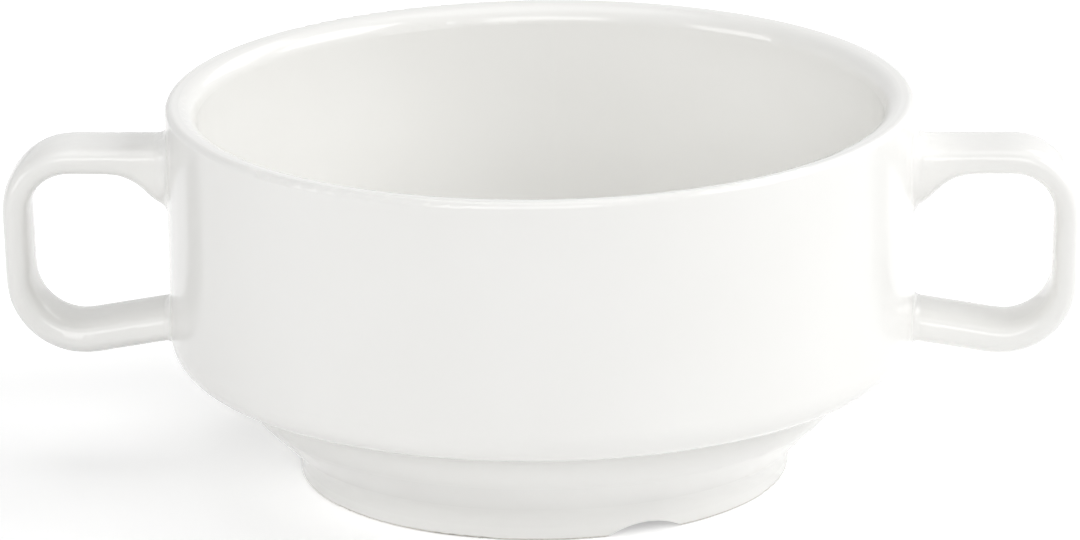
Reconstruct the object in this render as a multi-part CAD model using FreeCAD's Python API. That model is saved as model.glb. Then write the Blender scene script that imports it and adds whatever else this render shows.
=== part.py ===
import FreeCAD, Part
import math
import os

from FreeCAD import Vector

# Two-handled bouillon cup in one piece of glazed porcelain, made to stack.
# Millimetres, +Z up, origin on the resting plane in the middle of the foot ring.
# The two loop handles lie along X, the round body turns about Z.

# Bowl, whose wall stands upright between the shoulder and the lip
cup_height = 55.8
rim_radius = 54.2
wall = 4.4

# Lip, which falls slightly towards the inside
lip_outer_round = 1.0
lip_inner_round = 2.7
lip_fall = 0.4

# Stacking shoulder, whose underside sits on the rim of the cup below
shoulder_height = 16.7
shoulder_round = 5.0
shoulder_corner_round = 1.2

# Stem between the shoulder and the foot ring, which goes loosely into the mouth of the cup below
stack_clearance = 6.0
stem_turn_height = 11.6
stem_round = 6.0
cove_round = 5.0

# Foot ring
foot_radius = 35.5
foot_draft = 0.3
foot_height = 3.8
foot_width = 3.6
foot_edge_round = 0.5
recess_depth = 4.0
recess_round = 2.0
recess_crown = 0.5

# Inside of the bowl
floor_thickness = 4.4
floor_dish = 0.5
inner_shoulder_round = 5.5
inner_ledge_round = 3.0
well_round = 7.5
well_draft = 1.6

# Drain notches across the foot ring
notch_count = 3
notch_width = 12.0
notch_height = 1.7
notch_first_angle = -63.5

# Handle loop, along the middle of its band, from the wall, the rim and the shoulder
handle_reach = 22.3
handle_lean = 0.8
handle_below_rim = 8.6
handle_above_shoulder = 6.0
handle_bottom_rise = 3.9
handle_top_round = 8.0
handle_bottom_round = 9.2

# Handle band
band_width = 12.0
top_thickness = 4.5
outer_thickness = 4.0
bottom_thickness = 5.1
band_squareness = 3.0

# Swelling under the upper root and the fillets where the handles meet the wall
root_swell = 5.0
root_swell_run = 4.1
upper_root_fillet = 2.0
lower_root_fillet = 1.2

# How finely the handle's outline is set out, and how near to the wall counts as on it
band_points = 16
turn_step = 15.0
run_step = 2.4
touch = 0.05

# Places that follow from the sizes above
inner_radius = rim_radius - wall
stem_radius = inner_radius - stack_clearance
handle_top_height = cup_height - handle_below_rim
handle_root_height = shoulder_height + handle_above_shoulder
handle_bottom_height = handle_root_height - handle_bottom_rise
middle_height = (handle_top_height + handle_root_height) / 2


def unit(vector):
    """The vector at a length of one."""
    return vector * (1.0 / vector.Length)


def rounded_path(corners):
    """Edges through the corners (point, radius), each inner corner turned as a tangent arc."""
    edges = []
    last = corners[0][0]
    for before, here, after in zip(corners, corners[1:], corners[2:]):
        point, radius = here
        back = unit(before[0] - point)
        ahead = unit(after[0] - point)
        half = 0.5 * back.getAngle(ahead)
        reach = radius / math.tan(half)
        start = point + back * reach
        end = point + ahead * reach
        bisector = unit(back + ahead)
        middle = point + bisector * (radius / math.sin(half) - radius)
        edges.append(Part.makeLine(last, start))
        edges.append(Part.Arc(start, middle, end).toShape())
        last = end
    edges.append(Part.makeLine(last, corners[-1][0]))
    return edges


def at(radius, height):
    """A point in the XZ plane, where the turned section and the handle's middle line lie."""
    return Vector(radius, 0, height)


def bowl():
    """The round body, turned from its full section, with its seam away from the handles."""
    floor_height = recess_depth + floor_thickness
    inner_ledge = shoulder_height + wall
    well_radius = stem_radius - wall
    foot_inner = foot_radius - foot_width
    section = [
        (at(0, recess_depth + recess_crown), 0),
        (at(foot_inner - foot_draft, recess_depth), recess_round),
        (at(foot_inner, 0), foot_edge_round),
        (at(foot_radius, 0), foot_edge_round),
        (at(foot_radius + foot_draft, foot_height), cove_round),
        (at(stem_radius, stem_turn_height), stem_round),
        (at(stem_radius, shoulder_height), shoulder_corner_round),
        (at(rim_radius, shoulder_height), shoulder_round),
        (at(rim_radius, cup_height), lip_outer_round),
        (at(inner_radius, cup_height - lip_fall), lip_inner_round),
        (at(inner_radius, inner_ledge), inner_shoulder_round),
        (at(well_radius, inner_ledge), inner_ledge_round),
        (at(well_radius - well_draft, floor_height + floor_dish), well_round),
        (at(0, floor_height), 0),
    ]
    edges = rounded_path(section)
    edges.append(Part.makeLine(section[-1][0], section[0][0]))
    turned = Part.Face(Part.Wire(edges)).revolve(Vector(0, 0, 0), Vector(0, 0, 1), 360)
    turned.rotate(Vector(0, 0, 0), Vector(0, 0, 1), 90)
    return turned


def notch(angle):
    """A shallow arched channel across the foot ring, to be cut away."""
    arch_radius = (notch_width ** 2 / 4 + notch_height ** 2) / (2 * notch_height)
    start = Vector(foot_radius - 2 * foot_width, 0, notch_height - arch_radius)
    tool = Part.makeCylinder(arch_radius, 3 * foot_width, start, Vector(1, 0, 0))
    tool.rotate(Vector(0, 0, 0), Vector(0, 0, 1), angle)
    return tool


def band_wire(centre, heading, outside, inside, half_width):
    """A closed rounded outline across the band, square to the heading in the XZ plane."""
    outward = Vector(-heading.z, 0, heading.x)
    power = 2 / band_squareness
    points = []
    for index in range(band_points):
        angle = 2 * math.pi * index / band_points
        across = math.copysign(abs(math.cos(angle)) ** power, math.cos(angle)) * half_width
        share = math.copysign(abs(math.sin(angle)) ** power, math.sin(angle))
        height = share * (outside if share > 0 else inside)
        points.append(centre + outward * height + Vector(0, across, 0))
    curve = Part.BSplineCurve()
    curve.interpolate(Points=points, PeriodicFlag=True)
    return Part.Wire(curve.toShape())


def stations(path, thicknesses):
    """Centre, heading and half thickness at even steps along the handle's middle line."""
    found = []
    for edge, (first, last) in zip(path, thicknesses):
        straight = isinstance(edge.Curve, Part.Line)
        turn = 0 if straight else math.degrees(edge.Length / edge.Curve.Radius)
        steps = round(edge.Length / run_step) if straight else round(turn / turn_step)
        start, end = edge.ParameterRange
        for step in range(steps):
            share = step / steps
            value = start + (end - start) * share
            half = (first + (last - first) * share) / 2
            found.append((edge.valueAt(value), edge.tangentAt(value), half))
    last_edge = path[-1]
    end = last_edge.LastParameter
    found.append((last_edge.valueAt(end), last_edge.tangentAt(end), thicknesses[-1][1] / 2))
    return found


def handle():
    """One handle loop on the +X side, lofted through outlines set along its middle line."""
    root = rim_radius - wall / 2
    outer_limb = rim_radius + handle_reach
    path = rounded_path([
        (at(root, handle_top_height), 0),
        (at(outer_limb, handle_top_height), handle_top_round),
        (at(outer_limb - handle_lean, handle_bottom_height), handle_bottom_round),
        (at(root, handle_root_height), 0),
    ])
    thicknesses = [
        (top_thickness, top_thickness),
        (top_thickness, outer_thickness),
        (outer_thickness, outer_thickness),
        (outer_thickness, bottom_thickness),
        (bottom_thickness, bottom_thickness),
    ]
    wires = []
    for centre, heading, half in stations(path, thicknesses):
        inside = half
        if centre.z > middle_height:
            gap = max(0.0, centre.x - rim_radius)
            inside += root_swell * math.exp(-(gap / root_swell_run) ** 2)
        wires.append(band_wire(centre, heading, half, inside, band_width / 2))
    return Part.makeLoft(wires, True, False)


def root_edges(shape, lowest, highest):
    """The edges where the handles meet the wall, between two heights."""
    found = []
    for edge in shape.Edges:
        start, end = edge.ParameterRange
        points = [edge.valueAt(value) for value in (start, (start + end) / 2, end)]
        on_wall = all(inner_radius < math.hypot(point.x, point.y) < rim_radius + touch for point in points)
        by_handle = all(abs(point.y) < band_width and lowest < point.z < highest for point in points)
        if on_wall and by_handle:
            found.append(edge)
    return found


os.makedirs("parts", exist_ok=True)

cup = bowl()
for number in range(notch_count):
    cup = cup.cut(notch(notch_first_angle + 360 * number / notch_count))

right_handle = handle()
left_handle = right_handle.copy()
left_handle.rotate(Vector(0, 0, 0), Vector(0, 0, 1), 180)
cup = cup.fuse([right_handle, left_handle]).Solids[0]

cup = cup.makeFillet(upper_root_fillet, root_edges(cup, middle_height, cup_height))
cup = cup.makeFillet(lower_root_fillet, root_edges(cup, shoulder_height, middle_height))

print("cup", cup.isValid(), "solids", len(cup.Solids), "faces", len(cup.Faces))
print("porcelain", round(cup.Volume / 1000, 2), "ml")
cup.exportStep("parts/bouillon_cup.step")
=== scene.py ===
import math

import bpy
from mathutils import Matrix, Vector

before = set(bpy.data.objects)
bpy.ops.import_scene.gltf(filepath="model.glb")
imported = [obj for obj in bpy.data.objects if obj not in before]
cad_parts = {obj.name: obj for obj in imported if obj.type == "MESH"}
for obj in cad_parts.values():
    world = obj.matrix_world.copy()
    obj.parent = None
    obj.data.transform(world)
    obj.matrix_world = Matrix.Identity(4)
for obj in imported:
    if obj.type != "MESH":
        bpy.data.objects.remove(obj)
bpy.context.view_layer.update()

# Scene scale is metres; the cup stands on the floor at z = 0 with its handles along X
scene = bpy.context.scene
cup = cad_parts["bouillon_cup"]

# Heights between which the foot ring goes from bare clay to glaze
bare_below = 0.0002
glazed_above = 0.00045

# Index of refraction and least and most roughness of the glaze, and the roughness of the bare clay
glaze_index = 1.5
glaze_least_rough = 0.10
glaze_most_rough = 0.16
bare_rough = 0.75

# Floor colour and half size, and how much its white is lifted where it is seen
floor_grey = 0.93
floor_half = 6.0
floor_lift = 0.36

# World strength as light on the cup, and as it is seen
world_light = 0.20
world_white = 1.0

# Lamps: name, position, target, width, height and power
lamps = [
    ("key", (1.05, -0.1, 0.75), (0, 0, 0.03), 0.8, 0.8, 8.4),
    ("front_fill", (0.0, -1.3, 0.60), (0, 0, 0.02), 1.0, 0.6, 6.0),
    ("left_fill", (-1.15, -0.45, 0.40), (0, 0, 0.02), 0.7, 0.5, 3.7),
    ("top_fill", (0.0, 0.1, 1.6), (0, 0, 0), 1.2, 1.2, 5.4),
    ("back_fill", (0.8, 0.8, 0.7), (0, 0, 0.03), 0.8, 0.8, 3.2),
]

# Camera: turn about the cup, downward pitch and roll in degrees, then metres and millimetres of lens
camera_turn = 2.6
camera_pitch = 17.06
camera_roll = 0.75
camera_distance = 1.100
camera_sideways = -0.0003
camera_height = 0.3670
camera_lens = 263.5


def new_material(name):
    """A node material with its tree cleared down to the output."""
    material = bpy.data.materials.new(name)
    material.use_nodes = True
    tree = material.node_tree
    tree.nodes.clear()
    output = tree.nodes.new("ShaderNodeOutputMaterial")
    return material, tree, output


def node(tree, kind, **values):
    """A shader node; keyword names are its properties, and keys in inputs are its sockets."""
    made = tree.nodes.new(kind)
    for key, value in values.pop("inputs", {}).items():
        made.inputs[key].default_value = value
    for key, value in values.items():
        setattr(made, key, value)
    return made


def surroundings_seen(tree):
    """One for rays that show the surroundings, seen straight, in gloss or through glass, else zero."""
    rays = node(tree, "ShaderNodeLightPath")
    straight_or_gloss = node(tree, "ShaderNodeMath", operation="MAXIMUM")
    tree.links.new(rays.outputs["Is Camera Ray"], straight_or_gloss.inputs[0])
    tree.links.new(rays.outputs["Is Glossy Ray"], straight_or_gloss.inputs[1])
    seen = node(tree, "ShaderNodeMath", operation="MAXIMUM")
    tree.links.new(straight_or_gloss.outputs[0], seen.inputs[0])
    tree.links.new(rays.outputs["Is Transmission Ray"], seen.inputs[1])
    return seen.outputs[0]


# Glazed porcelain
porcelain, tree, output = new_material("glazed_porcelain")
link = tree.links.new
place = node(tree, "ShaderNodeTexCoord")
split = node(tree, "ShaderNodeSeparateXYZ")
link(place.outputs["Object"], split.inputs[0])

# The body colour drifts very slightly where the glaze lies thicker or thinner
drift = node(tree, "ShaderNodeTexNoise", inputs={"Scale": 38.0, "Detail": 2.0, "Roughness": 0.45})
link(place.outputs["Object"], drift.inputs["Vector"])
tint = node(tree, "ShaderNodeValToRGB")
tint.color_ramp.elements[0].position = 0.3
tint.color_ramp.elements[0].color = (0.905, 0.900, 0.877, 1)
tint.color_ramp.elements[1].position = 0.7
tint.color_ramp.elements[1].color = (0.922, 0.918, 0.898, 1)
link(drift.outputs["Fac"], tint.inputs["Fac"])

# The foot ring is wiped free of glaze where it stands
bare = node(tree, "ShaderNodeMapRange", inputs={"From Min": glazed_above, "From Max": bare_below})
link(split.outputs["Z"], bare.inputs["Value"])
grain = node(tree, "ShaderNodeTexNoise", inputs={"Scale": 1900.0, "Detail": 3.0})
link(place.outputs["Object"], grain.inputs["Vector"])
bisque = node(tree, "ShaderNodeValToRGB")
bisque.color_ramp.elements[0].position = 0.35
bisque.color_ramp.elements[0].color = (0.70, 0.675, 0.625, 1)
bisque.color_ramp.elements[1].position = 0.65
bisque.color_ramp.elements[1].color = (0.79, 0.77, 0.725, 1)
link(grain.outputs["Fac"], bisque.inputs["Fac"])
colour = node(tree, "ShaderNodeMix", data_type="RGBA")
link(bare.outputs[0], colour.inputs["Factor"])
link(tint.outputs["Color"], colour.inputs["A"])
link(bisque.outputs["Color"], colour.inputs["B"])

# Long soft waves in the glaze, and the bisque's fine grain on the foot
wave = node(tree, "ShaderNodeTexNoise", inputs={"Scale": 85.0, "Detail": 1.0, "Roughness": 0.4})
link(place.outputs["Object"], wave.inputs["Vector"])
wave_bump = node(tree, "ShaderNodeBump", inputs={"Strength": 0.35, "Distance": 0.00006})
link(wave.outputs["Fac"], wave_bump.inputs["Height"])
grain_height = node(tree, "ShaderNodeMath", operation="MULTIPLY")
link(grain.outputs["Fac"], grain_height.inputs[0])
link(bare.outputs[0], grain_height.inputs[1])
grain_bump = node(tree, "ShaderNodeBump", inputs={"Strength": 0.5, "Distance": 0.00004})
link(grain_height.outputs[0], grain_bump.inputs["Height"])
link(wave_bump.outputs["Normal"], grain_bump.inputs["Normal"])

# Gloss varies a little over the glaze and is gone on the bare ring
gloss = node(tree, "ShaderNodeMapRange", inputs={
    "From Min": 0.3,
    "From Max": 0.7,
    "To Min": glaze_least_rough,
    "To Max": glaze_most_rough,
})
link(drift.outputs["Fac"], gloss.inputs["Value"])
rough = node(tree, "ShaderNodeMix", data_type="FLOAT", inputs={"B": bare_rough})
link(bare.outputs[0], rough.inputs["Factor"])
link(gloss.outputs[0], rough.inputs["A"])

glaze = node(tree, "ShaderNodeBsdfPrincipled", inputs={"IOR": glaze_index})
link(colour.outputs["Result"], glaze.inputs["Base Color"])
link(rough.outputs["Result"], glaze.inputs["Roughness"])
link(grain_bump.outputs["Normal"], glaze.inputs["Normal"])
link(glaze.outputs[0], output.inputs["Surface"])
for slot in cup.material_slots:
    slot.material = porcelain


# Floor, white where it is seen, with the cup's soft shadow on it
floor_material, tree, output = new_material("floor_white")
link = tree.links.new
paper = node(tree, "ShaderNodeBsdfDiffuse", inputs={"Color": (floor_grey, floor_grey, floor_grey, 1)})
lift = node(tree, "ShaderNodeEmission", inputs={"Color": (1, 1, 1, 1)})
lift_share = node(tree, "ShaderNodeMath", operation="MULTIPLY", inputs={1: floor_lift})
link(surroundings_seen(tree), lift_share.inputs[0])
link(lift_share.outputs[0], lift.inputs["Strength"])
both = node(tree, "ShaderNodeAddShader")
link(paper.outputs[0], both.inputs[0])
link(lift.outputs[0], both.inputs[1])
link(both.outputs[0], output.inputs["Surface"])

floor_mesh = bpy.data.meshes.new("floor")
floor_corners = [(x * floor_half, y * floor_half, 0) for x, y in ((-1, -1), (1, -1), (1, 1), (-1, 1))]
floor_mesh.from_pydata(floor_corners, [], [(0, 1, 2, 3)])
floor_mesh.materials.append(floor_material)
floor = bpy.data.objects.new("floor", floor_mesh)
scene.collection.objects.link(floor)


# World, white where it is seen and a weak even light on the cup
world = bpy.data.worlds.new("studio")
scene.world = world
world.use_nodes = True
tree = world.node_tree
tree.nodes.clear()
link = tree.links.new
output = tree.nodes.new("ShaderNodeOutputWorld")
strength = node(tree, "ShaderNodeMapRange", inputs={"To Min": world_light, "To Max": world_white})
link(surroundings_seen(tree), strength.inputs["Value"])
white = node(tree, "ShaderNodeBackground", inputs={"Color": (1, 1, 1, 1)})
link(strength.outputs[0], white.inputs["Strength"])
link(white.outputs[0], output.inputs["Surface"])


def area_light(name, position, target, width, height, power):
    """A soft box at a position, turned to face a target."""
    data = bpy.data.lights.new(name, "AREA")
    data.shape = "RECTANGLE"
    data.size = width
    data.size_y = height
    data.energy = power
    lamp = bpy.data.objects.new(name, data)
    lamp.location = position
    lamp.rotation_euler = (Vector(target) - Vector(position)).to_track_quat("-Z", "Y").to_euler()
    scene.collection.objects.link(lamp)


for lamp_values in lamps:
    area_light(*lamp_values)


# Camera at the photograph's viewing angle
turn = math.radians(camera_turn)
pitch = math.radians(camera_pitch)
roll = math.radians(camera_roll)
camera_data = bpy.data.cameras.new("camera")
camera_data.sensor_width = 36.0
camera_data.lens = camera_lens
camera = bpy.data.objects.new("camera", camera_data)
across = camera_distance * math.sin(turn) + camera_sideways
position = Matrix.Translation((across, -camera_distance * math.cos(turn), camera_height))
heading = Matrix.Rotation(turn, 4, "Z") @ Matrix.Rotation(math.pi / 2 - pitch, 4, "X")
camera.matrix_world = position @ heading @ Matrix.Rotation(-roll, 4, "Z")
scene.collection.objects.link(camera)
scene.camera = camera

scene.view_settings.view_transform = "Standard"
